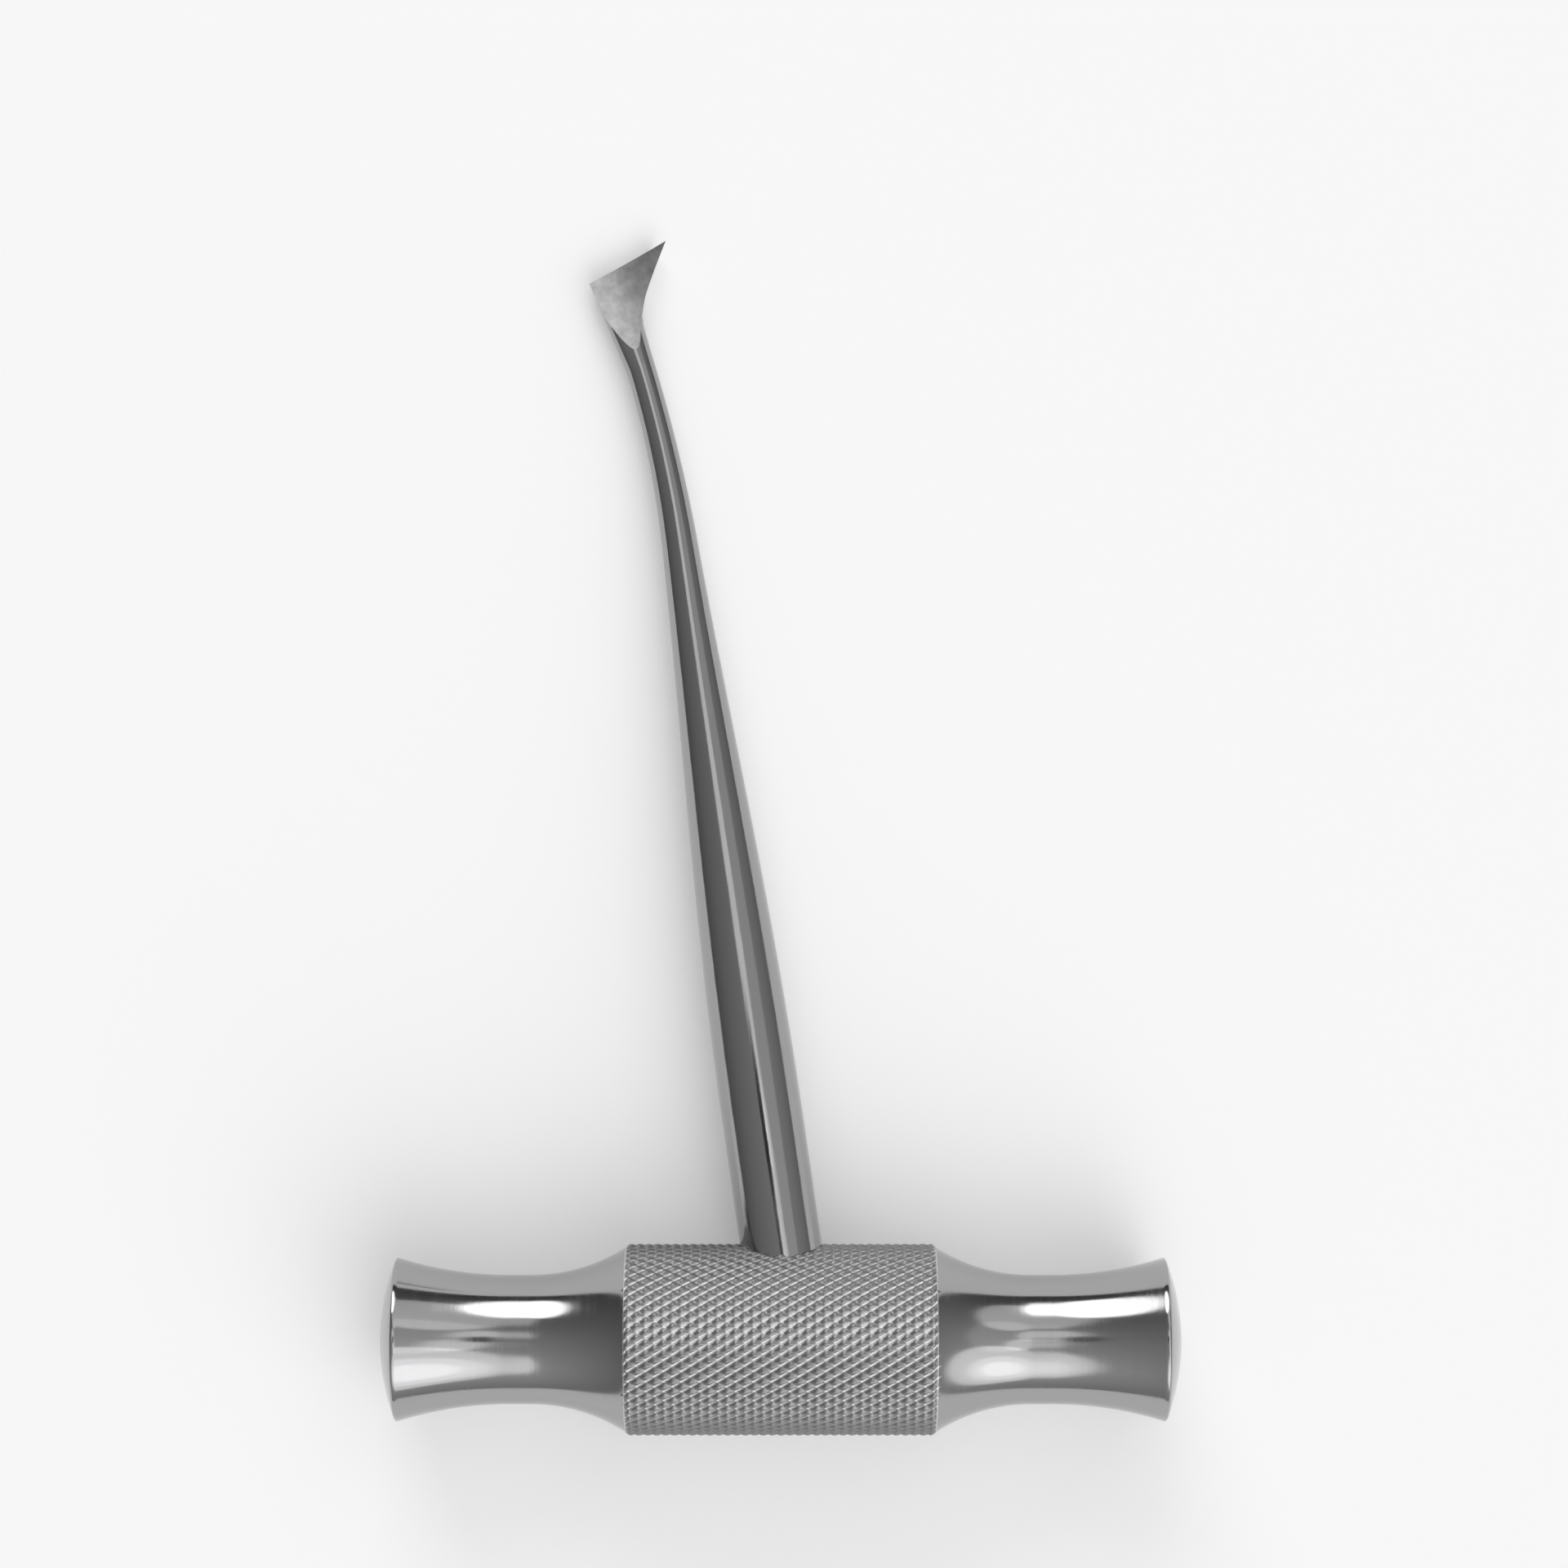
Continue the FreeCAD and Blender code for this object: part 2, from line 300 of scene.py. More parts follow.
@dataclass(frozen=True)
class GroundSteel:
    """The blade's steel where the wheel hollowed it.

    The wheel leaves fine lines and an uneven satin, so the face shines softly, in faint light and dark spots.
    """

    name: str = "stainless steel, hollow-ground satin"
    dull: str = "#AEAEAF"
    bright: str = "#CACACB"
    roughness: float = 0.24
    grit: float = 0.09              # spacing of the grinding lines, millimetres
    grit_length: float = 1.43       # millimetres
    grit_depth: float = 0.0025
    grit_turn: float = -30.0        # of the grinding lines, degrees
    mottle: float = 1.2             # size of the mottling, millimetres

    def material(self) -> bpy.types.Material:
        """Build the node material, its grinding lines running with the blade."""
        material, tree, output = new_material(self.name)
        place = add_node(tree, "ShaderNodeTexCoord")
        fine, long = 1 / (self.grit * MM), 1 / (self.grit_length * MM)
        lines = add_node(tree, "ShaderNodeMapping",
                         {"Rotation": (0.0, 0.0, math.radians(self.grit_turn)), "Scale": (fine, long, long)},
                         {"Vector": place.outputs["Object"]})
        grit = add_node(tree, "ShaderNodeTexNoise", {"Scale": 1.0, "Detail": 4.0},
                        {"Vector": lines.outputs["Vector"]})
        cloud = add_node(tree, "ShaderNodeTexNoise", {"Scale": 1 / (self.mottle * MM), "Detail": 3.0},
                         {"Vector": place.outputs["Object"]})
        tone = add_node(tree, "ShaderNodeValToRGB", {}, {"Fac": cloud.outputs["Fac"]})
        set_ramp(tone, [(0.3, self.dull), (0.7, self.bright)])
        bump = add_node(tree, "ShaderNodeBump", {"Strength": 1.0, "Distance": self.grit_depth * MM},
                        {"Height": grit.outputs["Fac"]})
        steel = add_node(tree, "ShaderNodeBsdfPrincipled",
                         {"Metallic": 1.0, "Roughness": self.roughness},
                         {"Base Color": tone.outputs["Color"], "Normal": bump.outputs["Normal"]})
        tree.links.new(steel.outputs["BSDF"], output.inputs["Surface"])
        return material


@dataclass(frozen=True)
class MattPaper:
    """Matt white background paper, almost without gloss."""

    name: str = "matt white paper"
    colour: str = "#FCFCFC"
    roughness: float = 0.95
    tooth: float = 0.4              # width of the paper's tooth, millimetres
    tooth_depth: float = 0.01
    tooth_strength: float = 0.05
    lift: float = 0.15              # towards white, where the paper is seen directly or in the metal

    def material(self) -> bpy.types.Material:
        """Build the node material."""
        material, tree, output = new_material(self.name)
        place = add_node(tree, "ShaderNodeTexCoord")
        tooth = add_node(tree, "ShaderNodeTexNoise", {"Scale": 1 / (self.tooth * MM)},
                         {"Vector": place.outputs["Object"]})
        bump = add_node(tree, "ShaderNodeBump",
                        {"Strength": self.tooth_strength, "Distance": self.tooth_depth * MM},
                        {"Height": tooth.outputs["Fac"]})
        ray = add_node(tree, "ShaderNodeLightPath")
        seen = add_node(tree, "ShaderNodeMath", {"operation": "MAXIMUM"},
                        {0: ray.outputs["Is Camera Ray"], 1: ray.outputs["Is Glossy Ray"]})
        seen = add_node(tree, "ShaderNodeMath", {"operation": "MAXIMUM"},
                        {0: seen.outputs["Value"], 1: ray.outputs["Is Transmission Ray"]})
        white = add_node(tree, "ShaderNodeMapRange", {"To Max": self.lift}, {"Value": seen.outputs["Value"]})
        paper = add_node(tree, "ShaderNodeBsdfPrincipled",
                         {"Base Color": linear(self.colour), "Roughness": self.roughness,
                          "Specular IOR Level": 0.1, "Emission Color": (1.0, 1.0, 1.0, 1.0)},
                         {"Normal": bump.outputs["Normal"], "Emission Strength": white.outputs["Result"]})
        tree.links.new(paper.outputs["BSDF"], output.inputs["Surface"])
        return material


@dataclass(frozen=True)
class BlackLacquer:
    """Dull black lacquer on the front of the camera, which leaves a dark sliver in curved steel."""

    name: str = "dull black lacquer"
    colour: str = "#101010"
    roughness: float = 0.6

    def material(self) -> bpy.types.Material:
        """Build the node material."""
        material, tree, output = new_material(self.name)
        lacquer = add_node(tree, "ShaderNodeBsdfPrincipled",
                           {"Base Color": linear(self.colour), "Roughness": self.roughness})
        tree.links.new(lacquer.outputs["BSDF"], output.inputs["Surface"])
        return material


@dataclass
class Skin:
    """Points and faces of a mesh while it is built, in millimetres, with a material number for each face."""

    points: list[Point] = field(default_factory=list)
    faces: list[Face] = field(default_factory=list)
    finishes: list[int] = field(default_factory=list)

    def add_ring(self, ring: list[Point]) -> list[int]:
        """Add a ring of points.

        Args:
            ring: The points in order.

        Returns:
            The numbers of the points.
        """
        start = len(self.points)
        self.points += ring
        return list(range(start, start + len(ring)))

    def add_face(self, face: Face, finish: int = 0) -> None:
        """Add one face with its material number."""
        self.faces.append(face)
        self.finishes.append(finish)

    def bridge(self, lower: list[int], upper: list[int], finish: int = 0) -> None:
        """Join two closed rings by a band of quads or triangles.

        Args:
            lower: Numbers of the first ring's points.
            upper: Numbers of the second ring's points, as many or a whole number of times fewer.
            finish: Material number of the band.
        """
        share = len(lower) // len(upper)
        for k in range(len(upper)):
            after = upper[(k + 1) % len(upper)]
            steps = [lower[(k * share + m) % len(lower)] for m in range(share + 1)]
            if share == 1:
                self.add_face((steps[0], steps[1], after, upper[k]), finish)
                continue
            for m in range(share):
                self.add_face((steps[m], steps[m + 1], upper[k] if m < share // 2 else after), finish)
            middle = steps[share // 2]
            self.add_face((middle, after, upper[k]), finish)

    def close(self, ring: list[int], apex: int, finish: int = 0) -> None:
        """Close a ring with a fan to one point."""
        for k in range(len(ring)):
            self.add_face((ring[k], ring[(k + 1) % len(ring)], apex), finish)

    def mesh(self, name: str) -> bpy.types.Mesh:
        """Make a smooth Blender mesh of it with its faces outwards, still in millimetres."""
        mesh = bpy.data.meshes.new(name)
        mesh.from_pydata(self.points, [], self.faces)
        mesh.polygons.foreach_set("material_index", self.finishes)
        form = bmesh.new()
        form.from_mesh(mesh)
        bmesh.ops.recalc_face_normals(form, faces=form.faces)
        form.to_mesh(mesh)
        form.free()
        mesh.shade_smooth()
        return mesh


def arc_points(start: Vector, tangent: Vector, end: Vector, count: int) -> list[Vector]:
    """Points of the arc from start, where it runs along the tangent, to end.

    Args:
        start: First point of the arc, in its plane.
        tangent: Unit direction of the arc at start.
        end: Last point of the arc.
        count: Number of steps.

    Returns:
        The count + 1 points from start to end.
    """
    chord = end - start
    side = (chord - tangent * chord.dot(tangent)).normalized()
    radius = chord.length_squared / (2 * chord.dot(side))
    turn = 2 * math.asin(chord.length / (2 * radius))
    steps = [turn * i / count for i in range(count + 1)]
    return [start + tangent * radius * math.sin(t) + side * radius * (1 - math.cos(t)) for t in steps]


@dataclass
class CrossBar:
    """The handle: one turned bar with a rolled diamond grip, and a waist, flared rim and dome each side."""

    barrel_radius: float = 10.5
    barrel_length: float = 33.2
    knurl_pitch: float = 1.05
    knurl_angle: float = 32.4
    knurl_depth: float = 0.35
    knurl_run_out: float = 0.5
    second_roll: float = 0.6        # depth of the second roll's grooves, as a share of the first's
    waist_radius: float = 7.1
    waist_land: float = 2.5
    rim_radius: float = 9.0
    rim_span: float = 85.0
    rim_flare: float = 12.5
    rim_chamfer: float = 0.25
    dome_height: float = 1.6
    chamfer_bow: float = 0.12       # how far the rim's bevel is rounded out, as a share of its width
    point_softness: float = 0.85    # 0 leaves sharp points and grooves, 1 a plain wave
    cell_steps: tuple[float, ...] = (0.0, 0.22, 0.5, 0.78)
    run_out_steps: tuple[float, ...] = (0.2, 0.4, 0.6, 0.8, 1.0)
    chamfer_steps: tuple[float, ...] = (0.12, 0.35, 0.65, 0.88)
    shoulder_points: int = 22
    flare_points: int = 24
    dome_points: int = 14

    def counts(self) -> tuple[int, int]:
        """Number of diamonds round the barrel, and of half diamonds along it."""
        angle = math.radians(self.knurl_angle)
        around = round(2 * math.pi * self.barrel_radius * math.cos(angle) / self.knurl_pitch)
        half_diamond = math.pi * self.barrel_radius / around / math.tan(angle)
        return around, max(2, round(self.barrel_length / half_diamond))

    def rise(self, from_groove: float) -> float:
        """Height over the groove's bottom, 0 to 1, by the distance from its middle line, 0 to 1."""
        wave = (1 - math.cos(math.pi * from_groove)) / 2
        return (1 - self.point_softness) * from_groove + self.point_softness * wave

    def grip_point(self, column: int, along: float, row: int, across: float, x: float, limit: float) -> Point:
        """One point of the grip's surface.

        Args:
            column: Number of the half diamond along the bar.
            along: Place in that half diamond, 0 to 1.
            row: Number of the half diamond round the bar.
            across: Place in it, 0 to 1.
            x: Place along the bar.
            limit: Largest radius there.

        Returns:
            The point.
        """
        around = self.counts()[0]
        if (column + row) % 2 == 0:
            depth, from_groove = self.knurl_depth * self.second_roll, abs(along + across - 1)
        else:
            depth, from_groove = self.knurl_depth, abs(along - across)
        radius = min(limit, self.barrel_radius - depth * (1 - self.rise(from_groove)))
        angle = math.pi * (row + across) / around
        return x, radius * math.sin(angle), radius * math.cos(angle)

    def grip_rings(self, skin: Skin) -> list[tuple[int, list[int]]]:
        """Add the grip's rings of points, from left to right.

        Args:
            skin: The mesh that gets them.

        Returns:
            Each ring with the number of the half diamond that starts at it.
        """
        around, length = self.counts()
        places = [(-1, 1 - step, -self.barrel_length / 2 - self.knurl_run_out * step)
                  for step in reversed(self.run_out_steps)]
        for column in range(length):
            places += [(column, step, self.barrel_length * ((column + step) / length - 0.5))
                       for step in self.cell_steps]
        places.append((length, 0.0, self.barrel_length / 2))
        places += [(length, step, self.barrel_length / 2 + self.knurl_run_out * step)
                   for step in self.run_out_steps]
        rings = []
        for column, along, x in places:
            beyond = max(0.0, abs(x) - self.barrel_length / 2) / self.knurl_run_out
            limit = self.barrel_radius - self.knurl_depth * beyond
            ring = [self.grip_point(column, along, row, step, x, limit)
                    for row in range(2 * around) for step in self.cell_steps]
            rings.append((column, skin.add_ring(ring)))
        return rings

    def add_grip(self, skin: Skin) -> tuple[list[int], list[int]]:
        """Add the grip, its quads split along the grooves.

        Args:
            skin: The mesh that gets it.

        Returns:
            The first and the last ring.
        """
        rings = self.grip_rings(skin)
        steps = len(self.cell_steps)
        for (column, low), (_, high) in zip(rings, rings[1:]):
            for k in range(len(low)):
                after = (k + 1) % len(low)
                if (column + k // steps) % 2 == 0:
                    skin.add_face((low[k], high[k], low[after]), 1)
                    skin.add_face((high[k], high[after], low[after]), 1)
                else:
                    skin.add_face((low[k], high[k], high[after]), 1)
                    skin.add_face((low[k], high[after], low[after]), 1)
        return rings[0][1], rings[-1][1]

    def end_profile(self) -> list[Vector]:
        """Distance along the axis and radius of one end's outline, from the shoulder to the dome's top."""
        shoulder = Vector((self.barrel_length / 2 + self.knurl_run_out,
                           self.barrel_radius - self.knurl_depth))
        rim_x = self.rim_span / 2
        outer = Vector((rim_x - self.rim_flare, self.waist_radius))
        inner = Vector((outer.x - self.waist_land, self.waist_radius))
        rim = Vector((rim_x - self.rim_chamfer, self.rim_radius))
        bevel = Vector((rim_x, self.rim_radius - self.rim_chamfer))
        crown = Vector((rim_x + self.dome_height, 0.0))
        flank = arc_points(inner, Vector((-1.0, 0.0)), shoulder, self.shoulder_points)[::-1]
        flare = arc_points(outer, Vector((1.0, 0.0)), rim, self.flare_points)
        bow = Vector((1.0, 1.0)) * self.chamfer_bow * self.rim_chamfer
        round_over = [rim.lerp(bevel, t) + bow * math.sin(math.pi * t) for t in self.chamfer_steps]
        dome = arc_points(crown, Vector((0.0, 1.0)), bevel, self.dome_points)[::-1]
        return flank + [(inner + outer) / 2] + flare + round_over + dome

    def add_end(self, skin: Skin, shoulder: list[int], end: End) -> None:
        """Add one turned end.

        Args:
            skin: The mesh that gets it.
            shoulder: The grip's last ring on that side.
            end: Which end.
        """
        count = 2 * self.counts()[0]
        profile = self.end_profile()
        lower = shoulder
        for place in profile[1:-1]:
            ring = []
            for k in range(count):
                angle = 2 * math.pi * k / count
                ring.append((int(end) * place.x, place.y * math.sin(angle), place.y * math.cos(angle)))
            upper = skin.add_ring(ring)
            skin.bridge(lower, upper)
            lower = upper
        skin.close(lower, skin.add_ring([(int(end) * profile[-1].x, 0.0, 0.0)])[0])

    def skin(self) -> Skin:
        """Build the whole bar as one closed skin."""
        skin = Skin()
        left, right = self.add_grip(skin)
        self.add_end(skin, left, End.LEFT)
        self.add_end(skin, right, End.RIGHT)
        return skin


@dataclass
class Shank:
    """The shank and its blade: drawn out from the foot to the flared end, then ground on face and flank."""

    barrel_radius: float = 10.5
    foot_radius: float = 4.5
    lean: float = 8.25
    foot_length: float = 13.5
    sunk: float = 6.0               # length of the foot inside the barrel
    neck_radius: float = 1.66
    neck_distance: float = 98.8
    bend_start: float = 78.3
    bend_radius: float = 140.0
    heel_across: float = -2.80
    heel_along: float = 10.85
    edge_length: float = 9.83
    edge_angle: float = 13.0
    back_depth: float = 1.75
    roof: float = 0.72
    end_squareness: float = 4.6
    hollow_radius: float = 30.0
    hollow_pitch: float = 6.9
    flank_angle: float = 37.2
    flank_length: float = 5.7
    flank_radius: float = 11.5
    flank_turn: float = 15.4
    flank_undercut: float = 41.0
    flank_lead: float = 0.6
    grinding_spare: float = 0.35    # of the stock beside the flank, ground away
    cutter_overrun: float = 1.0
    wheel_travel: float = 15.2
    ring_points: int = 128
    flank_points: int = 12
    wheel_points: int = 96
    shank_step: float = 1.2
    blade_step: float = 0.25
    crisp_angle: float = 28.0       # between faces, degrees; from here on the edge between them is sharp

    def centre(self, distance: float) -> tuple[Vector, float]:
        """Point on the centre line and its lean there, in radians, by the distance from the barrel."""
        lean = math.radians(self.lean)
        ahead = Vector((-math.sin(lean), math.cos(lean), 0.0))
        foot = Vector((0.0, self.barrel_radius, 0.0))
        if distance <= self.bend_start:
            return foot + ahead * distance, lean
        side = Vector((math.cos(lean), math.sin(lean), 0.0))
        bend_centre = foot + ahead * self.bend_start - side * self.bend_radius
        lean += (distance - self.bend_start) / self.bend_radius
        return bend_centre + Vector((math.cos(lean), math.sin(lean), 0.0)) * self.bend_radius, lean

    def radius(self, distance: float) -> float:
        """Radius of the round shank: full along the foot, then eased down to the neck."""
        run = (distance - self.foot_length) / (self.neck_distance - self.foot_length)
        run = min(max(run, 0.0), 1.0)
        return self.neck_radius + (self.foot_radius - self.neck_radius) * (1 + math.cos(math.pi * run)) / 2

    def blade_point(self, across: float, along: float, height: float = 0.0) -> Vector:
        """Point of the blade, measured at the neck."""
        neck, lean = self.centre(self.neck_distance)
        side = Vector((math.cos(lean), math.sin(lean), 0.0))
        ahead = Vector((-math.sin(lean), math.cos(lean), 0.0))
        return neck + side * across + ahead * along + Vector((0.0, 0.0, height))

    def edge_point(self, distance: float) -> Vector:
        """Across and along of a point on the blade's end, from the heel towards the point."""
        angle = math.radians(self.edge_angle)
        return Vector((self.heel_across + distance * math.cos(angle),
                       self.heel_along + distance * math.sin(angle)))

    def hollow_bow(self) -> float:
        """Depth of the hollow across the blade's end."""
        return self.hollow_radius - math.sqrt(self.hollow_radius ** 2 - (self.edge_length / 2) ** 2)

    def section(self, left: Vector, right: Vector, middle: float, thickness: float, squareness: float,
                bow: float) -> list[Point]:
        """Closed section between two side points: an ellipse that can be made squarer and bowed to the back.

        Args:
            left: Left side point.
            right: Right side point.
            middle: Height of the section's middle.
            thickness: Half of its thickness.
            squareness: Exponent of the curve: 2 is an ellipse, more is squarer.
            bow: How far its middle is bowed to the back.

        Returns:
            Its points, once round.
        """
        centre, half = (left + right) / 2, (right - left) / 2
        ring = []
        for k in range(self.ring_points):
            angle = 2 * math.pi * k / self.ring_points
            cosine, sine = math.cos(angle), math.sin(angle)
            reach = (abs(cosine) ** squareness + abs(sine) ** squareness) ** (-1 / squareness)
            across, up = reach * cosine, reach * sine
            place = centre + half * across
            ring.append((place.x, place.y, middle + thickness * up - bow * (1 - across ** 2)))
        return ring

    def flank_outline(self) -> tuple[Vector, Vector, list[Vector]]:
        """Across and along of the slanted flank: the point, its straight part's end and its curve below."""
        tip = self.edge_point(self.edge_length)
        angle = math.radians(self.flank_angle)
        straight = tip - Vector((math.sin(angle), math.cos(angle))) * self.flank_length
        centre = straight + Vector((math.cos(angle), -math.sin(angle))) * self.flank_radius
        step = math.radians(self.flank_turn) / self.flank_points
        turns = [angle - step * i for i in range(self.flank_points + 1)]
        curve = [centre + Vector((-math.cos(t), math.sin(t))) * self.flank_radius for t in turns]
        return tip, straight, curve

    def side_point(self, run: float) -> Vector:
        """Across and along of the unground stock's right side, by the share of the blade."""
        _, straight, curve = self.flank_outline()
        bend, root = curve[len(curve) // 2], curve[-1]
        spare = self.grinding_spare
        knots = [
            Vector((self.neck_radius, 0.0)),
            Vector((self.neck_radius, self.heel_along / 4)),
            Vector((root.x, root.y - self.flank_lead)),
            Vector((bend.x + spare, bend.y)),
            Vector((straight.x + spare, straight.y + spare)),
            self.edge_point(self.edge_length + 2 * spare),
        ]
        spans = len(knots) - 1
        k = min(int(run * spans), spans - 1)
        t = run * spans - k
        before = knots[k - 1] if k > 0 else knots[0] * 2 - knots[1]
        after = knots[k + 2] if k + 2 <= spans else knots[-1] * 2 - knots[-2]
        start, end = knots[k], knots[k + 1]
        return (start * 2 + (end - before) * t + (before * 2 - start * 5 + end * 4 - after) * t ** 2
                + (start * 3 - before - end * 3 + after) * t ** 3) / 2

    def blade_ring(self, run: float) -> list[Point]:
        """One section of the blade's stock, by the share of the blade from neck to end."""
        ease = run * run * (3 - 2 * run)
        left = self.blade_point(-self.neck_radius + (self.heel_across + self.neck_radius) * run,
                                self.heel_along * run)
        side = self.side_point(run)
        full = self.back_depth + self.roof - self.hollow_bow()
        return self.section(left, self.blade_point(side.x, side.y), self.roof * ease,
                            self.neck_radius + (full - self.neck_radius) * ease,
                            2 + (self.end_squareness - 2) * ease ** 3, self.hollow_bow() * ease)

    def stock(self) -> Skin:
        """Build shank and blade before grinding, as one closed skin."""
        skin = Skin()
        length = self.neck_distance + self.sunk
        count = math.ceil(length / self.shank_step)
        rings = []
        for i in range(count + 1):
            distance = length * i / count - self.sunk
            point, lean = self.centre(distance)
            side = Vector((math.cos(lean), math.sin(lean), 0.0)) * self.radius(distance)
            rings.append(self.section(point - side, point + side, 0.0, self.radius(distance), 2.0, 0.0))
        blade = math.ceil(self.heel_along / self.blade_step)
        rings += [self.blade_ring(i / blade) for i in range(1, blade + 1)]
        numbers = [skin.add_ring(ring) for ring in rings]
        for low, high in zip(numbers, numbers[1:]):
            skin.bridge(low, high)
        skin.add_face(tuple(numbers[0]))
        skin.add_face(tuple(numbers[-1]), 1)
        return skin

    def prism(self, outline: list[Vector], travel: Vector) -> Skin:
        """Cutting block: a closed outline moved along a direction."""
        skin = Skin()
        low = skin.add_ring([tuple(p) for p in outline])
        high = skin.add_ring([tuple(p + travel) for p in outline])
        skin.bridge(low, high, 1)
        skin.add_face(tuple(low), 1)
        skin.add_face(tuple(high), 1)
        return skin

    def face_wheel(self) -> Skin:
        """Path of the grinding wheel that leaves the face hollow."""
        pitch, angle = math.radians(self.hollow_pitch), math.radians(self.edge_angle)
        origin = self.blade_point(0, 0)
        path = self.blade_point(math.sin(angle) * math.cos(pitch), -math.cos(angle) * math.cos(pitch),
                                math.sin(pitch)) - origin
        up = Vector((0.0, 0.0, 1.0))
        normal = (up - path * up.dot(path)).normalized()
        across = path.cross(normal)
        overrun, reach, steps = self.edge_length / 2, self.edge_length, self.wheel_points
        middle = self.edge_point(self.edge_length / 2)
        lowest = self.blade_point(middle.x, middle.y, self.roof - self.hollow_bow()) - path * overrun
        outline = []
        for i in range(steps + 1):
            offset = reach * (2 * i / steps - 1)
            rise = self.hollow_radius - math.sqrt(self.hollow_radius ** 2 - offset ** 2)
            outline.append(lowest + across * offset + normal * rise)
        lid = self.hollow_radius - math.sqrt(self.hollow_radius ** 2 - reach ** 2) + 2 * self.foot_radius
        outline += [lowest + across * reach + normal * lid, lowest - across * reach + normal * lid]
        return self.prism(outline, path * (overrun + self.wheel_travel))

    def flank_block(self) -> Skin:
        """Block that grinds the slanted flank, leaning back so that the flank is bevelled under the face."""
        tip, _, curve = self.flank_outline()
        lift = math.tan(math.radians(self.flank_undercut))
        overrun = self.cutter_overrun
        fall = self.roof + self.back_depth + 2 * overrun
        angle = math.radians(self.flank_angle)
        past_tip = tip + Vector((math.sin(angle), math.cos(angle))) * 2 * overrun
        root = curve[-1]
        beside_neck = Vector((root.x, root.y - fall * lift))
        clear = past_tip.x + self.edge_length
        corners = [past_tip, *curve, beside_neck, Vector((clear, beside_neck.y)), Vector((clear, past_tip.y))]
        top = [self.blade_point(c.x, c.y - overrun * lift, self.roof + overrun) for c in corners]
        travel = self.blade_point(0, fall * lift, -fall) - self.blade_point(0, 0)
        return self.prism(top, travel)

    def mesh(self, name: str) -> bpy.types.Mesh:
        """Grind the stock with the wheel and the flank block.

        Args:
            name: Name of the mesh.

        Returns:
            The ground mesh, with material 1 on what was ground.
        """
        work = bpy.data.objects.new("stock", self.stock().mesh("stock"))
        tools = []
        for number, skin in enumerate((self.face_wheel(), self.flank_block())):
            tools.append(bpy.data.objects.new(f"grinder_{number}", skin.mesh(f"grinder_{number}")))
        blanks = [bpy.data.materials.new("blank"), bpy.data.materials.new("blank")]
        for thing in [work, *tools]:
            bpy.context.scene.collection.objects.link(thing)
            for blank in blanks:
                thing.data.materials.append(blank)
        for tool in tools:
            cut = work.modifiers.new("grind", "BOOLEAN")
            cut.operation = "DIFFERENCE"
            cut.solver = "EXACT"
            cut.object = tool
        ground = bpy.data.meshes.new_from_object(work.evaluated_get(bpy.context.evaluated_depsgraph_get()))
        ground.name = name
        finishes = [face.material_index for face in ground.polygons]
        ground.materials.clear()
        ground.polygons.foreach_set("material_index", finishes)
        for thing in [work, *tools]:
            data = thing.data
            bpy.data.objects.remove(thing)
            bpy.data.meshes.remove(data)
        for blank in blanks:
            bpy.data.materials.remove(blank)
        ground.shade_smooth()
        ground.set_sharp_from_angle(angle=math.radians(self.crisp_angle))
        self.crisp_borders(ground)
        return ground

    def crisp_borders(self, mesh: bpy.types.Mesh) -> None:
        """Make every edge sharp where ground and polished faces meet.

        Args:
            mesh: The ground mesh.
        """
        finish_at = {}
        for face in mesh.polygons:
            for key in face.edge_keys:
                finish_at.setdefault(key, set()).add(face.material_index)
        for edge in mesh.edges:
            if len(finish_at[edge.key]) > 1:
                edge.use_edge_sharp = True


def laid_down(bar: bpy.types.Mesh, shank: bpy.types.Mesh) -> Matrix:
    """Find how the tool lies: turned about the bar until the barrel and the blade touch the floor together.

    Args:
        bar: The bar's mesh in the tool's frame.
        shank: The shank's mesh in the tool's frame.

    Returns:
        The matrix from the tool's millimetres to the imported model's metres.
    """
    low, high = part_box(Node.BAR.value)
    depth = -min(v.co.z for v in bar.vertices)
    tip_down = 0.0
    rounds = 12                     # each one comes closer to the floor; the last ones change nothing
    for _ in range(rounds):
        turn = Matrix.Rotation(-tip_down, 3, "X")
        points = [turn @ v.co for v in shank.vertices]
        lowest = min(p.z for p in points)
        tip_down += math.atan2(lowest + depth, max(p.y for p in points))
    place = Matrix.Translation(((low.x + high.x) / 2, (low.y + high.y) / 2, depth * MM))
    return place @ Matrix.Rotation(-tip_down, 4, "X") @ Matrix.Scale(MM, 4)


def set_down(mesh: bpy.types.Mesh, where: Matrix, node: Node,
             finishes: list[bpy.types.Material]) -> bpy.types.Object:
    """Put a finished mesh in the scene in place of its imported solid.

    Args:
        mesh: The mesh in the tool's frame.
        where: The matrix that lays it down.
        node: The solid that it stands for.
        finishes: Its materials by number.

    Returns:
        The new piece.
    """
    mesh.transform(where)
    for finish in finishes:
        mesh.materials.append(finish)
    piece = bpy.data.objects.new(mesh.name, mesh)
    bpy.context.scene.collection.objects.link(piece)
    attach(piece, BODY)
    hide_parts(node.value)
    log.info("%s: %d faces, in place of %s", piece.name, len(mesh.polygons), node.value)
    return piece


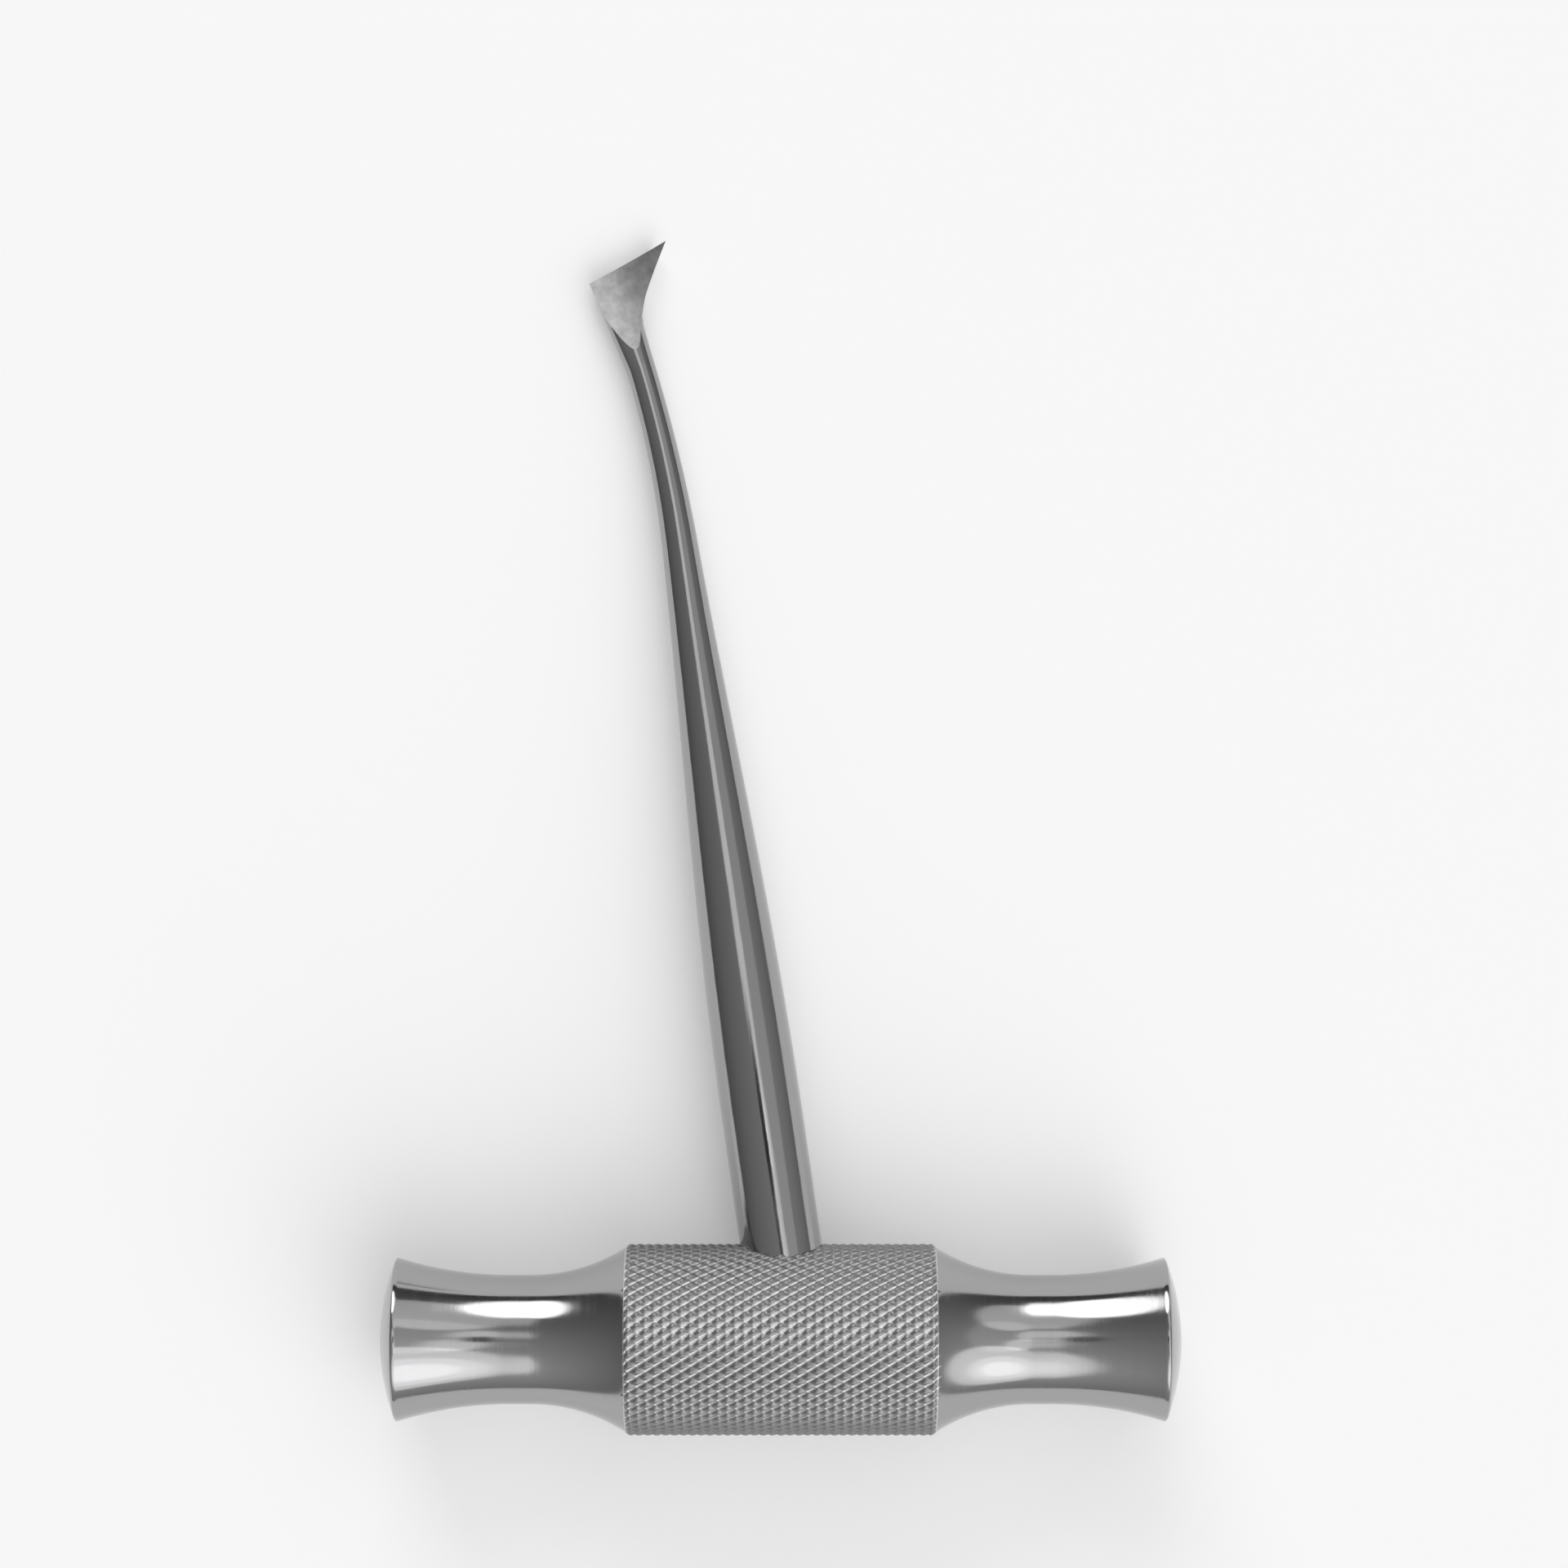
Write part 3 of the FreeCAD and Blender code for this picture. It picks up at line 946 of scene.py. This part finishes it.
@dataclass(frozen=True)
class SoftLight:
    """A softbox far enough away to light the whole floor evenly.

    Bearing is degrees from the top of the picture towards its right, and height degrees over the floor.
    """

    name: str
    bearing: float
    height: float
    width: float                    # as seen from the tool, degrees
    brightness: float               # of the box itself, where 1 is the white of the picture

    def direction(self) -> Vector:
        """Unit vector from the tool to the box."""
        bearing, height = math.radians(self.bearing), math.radians(self.height)
        return Vector((math.sin(bearing) * math.cos(height), math.cos(bearing) * math.cos(height),
                       math.sin(height)))

    def add(self) -> None:
        """Add the lamp."""
        half = math.radians(self.width) / 2
        lamp = bpy.data.lights.new(self.name, "SUN")
        lamp.angle = 2 * half
        lamp.energy = self.brightness * math.pi * math.sin(half) ** 2
        thing = bpy.data.objects.new(self.name, lamp)
        thing.rotation_mode = "QUATERNION"
        thing.rotation_quaternion = self.direction().to_track_quat("Z", "Y")
        bpy.context.scene.collection.objects.link(thing)


@dataclass
class Studio:
    """Floor, lights, the room round them and the camera straight above, in metres."""

    floor_size: float = 12.0
    floor_gap: float = 0.00002      # between the tool's lowest points and the floor
    camera_place: Point = (0.00036, 0.00543, 0.5105)
    picture_width: float = 0.17297  # at the height of the bar's axis
    focus_height: float = 0.0105
    sensor: float = 36.0
    lights: tuple[SoftLight, ...] = (
        SoftLight("key_softbox", -10.0, 27.5, 34.0, 2.9),
        SoftLight("right_back_softbox", 20.0, 42.0, 46.0, 0.6),
        SoftLight("right_front_softbox", 145.0, 44.0, 64.0, 0.85),
        SoftLight("right_front_middle", 152.0, 41.0, 42.0, 0.4),
        SoftLight("right_front_core", 152.0, 40.0, 26.0, 0.45),
        SoftLight("right_ceiling", 62.0, 66.0, 50.0, 0.22),
        SoftLight("overhead_strip_back", 16.0, 77.0, 19.0, 0.6),
        SoftLight("overhead_strip_front", 103.0, 78.0, 19.0, 0.6),
    )
    room: tuple[tuple[float, str], ...] = (
        (0.0, "#727272"), (0.3, "#878787"), (0.6, "#949494"), (1.0, "#9C9C9C"),
    )
    side_light: tuple[float, float] = (0.85, 1.65)   # share of the room's light from left and right
    depth_light: tuple[float, float] = (1.60, 0.30)  # share of it from front and back
    lens_radius: float = 0.045      # of the camera's dark front, which shows in the waists
    lens_points: int = 48

    def add_floor(self) -> None:
        """Add the plain pale floor."""
        half, z = self.floor_size / 2, -self.floor_gap
        mesh = bpy.data.meshes.new("floor")
        corners = [(-half, -half, z), (half, -half, z), (half, half, z), (-half, half, z)]
        mesh.from_pydata(corners, [], [(0, 1, 2, 3)])
        mesh.materials.append(MattPaper().material())
        floor = bpy.data.objects.new("floor", mesh)
        bpy.context.scene.collection.objects.link(floor)

    def add_room(self) -> None:
        """Add the room: dark at the skirting, paler overhead and towards the window side."""
        world = bpy.data.worlds.new("room")
        world.use_nodes = True
        tree = world.node_tree
        tree.nodes.clear()
        place = add_node(tree, "ShaderNodeTexCoord")
        parts = add_node(tree, "ShaderNodeSeparateXYZ", {}, {"Vector": place.outputs["Generated"]})
        tone = add_node(tree, "ShaderNodeValToRGB", {}, {"Fac": parts.outputs["Z"]})
        set_ramp(tone, list(self.room))
        side = add_node(tree, "ShaderNodeMapRange",
                        {"From Min": -1.0, "From Max": 1.0, "To Min": self.side_light[0],
                         "To Max": self.side_light[1]}, {"Value": parts.outputs["X"]})
        depth = add_node(tree, "ShaderNodeMapRange",
                         {"From Min": -1.0, "From Max": 1.0, "To Min": self.depth_light[0],
                          "To Max": self.depth_light[1]}, {"Value": parts.outputs["Y"]})
        share = add_node(tree, "ShaderNodeMath", {"operation": "MULTIPLY"},
                         {0: side.outputs["Result"], 1: depth.outputs["Result"]})
        air = add_node(tree, "ShaderNodeBackground", {},
                       {"Color": tone.outputs["Color"], "Strength": share.outputs["Value"]})
        output = add_node(tree, "ShaderNodeOutputWorld")
        tree.links.new(air.outputs["Background"], output.inputs["Surface"])
        bpy.context.scene.world = world

    def add_camera(self) -> None:
        """Add the camera straight over the tool, its frame as wide as the photograph."""
        data = bpy.data.cameras.new("camera")
        data.sensor_width = self.sensor
        data.lens = self.sensor * (self.camera_place[2] - self.focus_height) / self.picture_width
        data.clip_start = 0.01
        data.clip_end = 50.0
        camera = bpy.data.objects.new("camera", data)
        camera.location = self.camera_place
        bpy.context.scene.collection.objects.link(camera)
        bpy.context.scene.camera = camera

    def add_lens(self) -> None:
        """Add the camera's dark front, which the steel mirrors; the camera itself looks past it."""
        mesh = bpy.data.meshes.new("camera_front")
        x, y, z = self.camera_place
        count = self.lens_points
        turns = [2 * math.pi * k / count for k in range(count)]
        ring = [(x + self.lens_radius * math.cos(t), y + self.lens_radius * math.sin(t), z) for t in turns]
        mesh.from_pydata(ring, [], [tuple(reversed(range(count)))])
        mesh.materials.append(BlackLacquer().material())
        front = bpy.data.objects.new("camera_front", mesh)
        front.visible_camera = False
        front.visible_shadow = False
        bpy.context.scene.collection.objects.link(front)

    def build(self) -> None:
        """Add everything of the studio."""
        self.add_floor()
        self.add_lens()
        self.add_room()
        for light in self.lights:
            light.add()
        self.add_camera()
        bpy.context.scene.view_settings.view_transform = "Standard"


def main() -> None:
    """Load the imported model, build the studio and the two pieces, and note the sizes."""
    logging.basicConfig(level=logging.INFO, format="%(message)s")
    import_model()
    Studio().build()

    bar, shank = CrossBar(), Shank()
    bar_mesh = bar.skin().mesh("turned_cross_bar")
    shank_mesh = shank.mesh("forged_shank_and_blade")
    where = laid_down(bar_mesh, shank_mesh)
    axis = where.to_translation()
    root_radius = bar.barrel_radius - bar.knurl_depth
    knurled = RolledSteel(axis.z, axis.y, root_radius * MM, bar.barrel_radius * MM)
    set_down(bar_mesh, where, Node.BAR, [BuffedSteel().material(), knurled.material()])
    set_down(shank_mesh, where, Node.SHANK,
             [PolishedSteel().material(), GroundSteel().material()])


if __name__ == "__main__":
    main()
